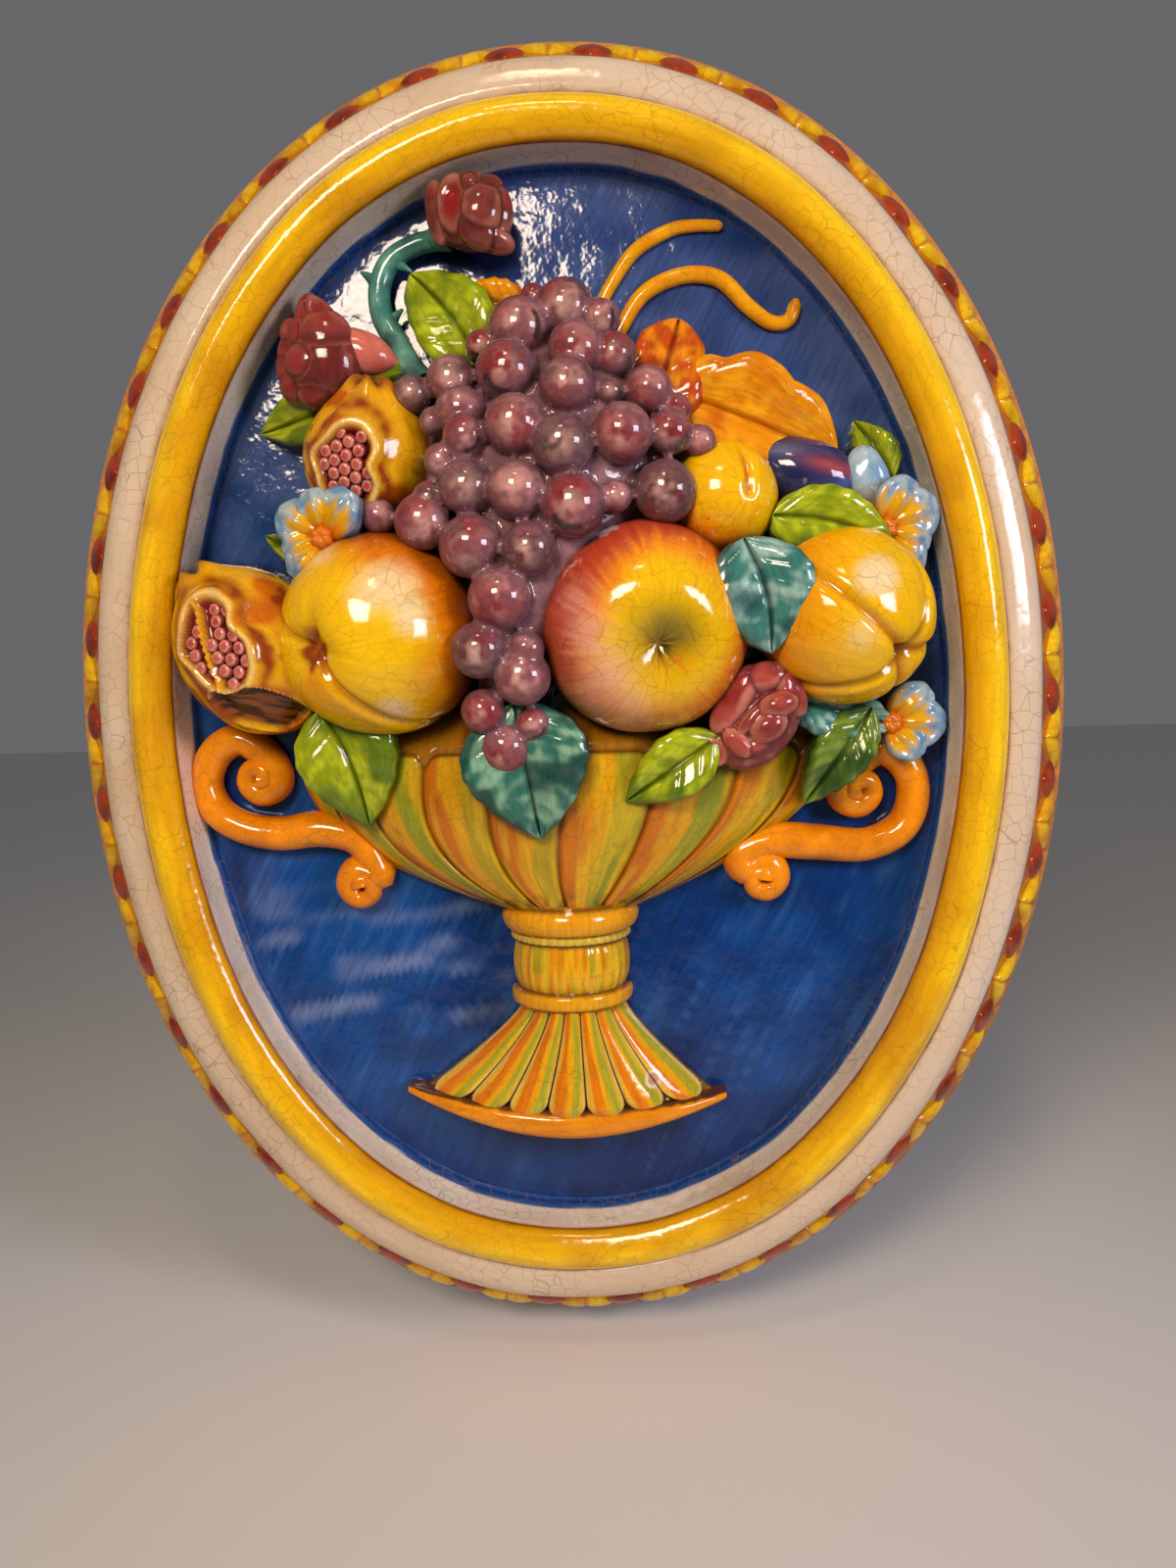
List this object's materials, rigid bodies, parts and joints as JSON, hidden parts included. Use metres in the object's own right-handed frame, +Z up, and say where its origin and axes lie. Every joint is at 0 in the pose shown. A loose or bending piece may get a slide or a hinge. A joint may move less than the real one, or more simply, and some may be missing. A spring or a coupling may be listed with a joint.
{
  "type": "decorative wall plaque",
  "caption": "Oval glazed earthenware wall plaque: a moulded rim round a high-relief footed bowl heaped with fruit, hung by a notch in its back.",
  "frame": {"origin": "on the flat bearing ring of the back, at the top centre, where the plaque bears on the wall just above its hook notch", "axes": "+X to the viewer's right, +Z up, and the plaque faces -Y, so the wall is on the +Y side"},
  "size_m": [0.401, 0.0795, 0.515],
  "materials": {
    "glazed_earthenware": "crackled gloss glaze over painted colours",
    "bare_earthenware": "unglazed terracotta"
  },
  "bodies": {
    "root": {"plaque": "glazed_earthenware"}
  },
  "joints": []
}
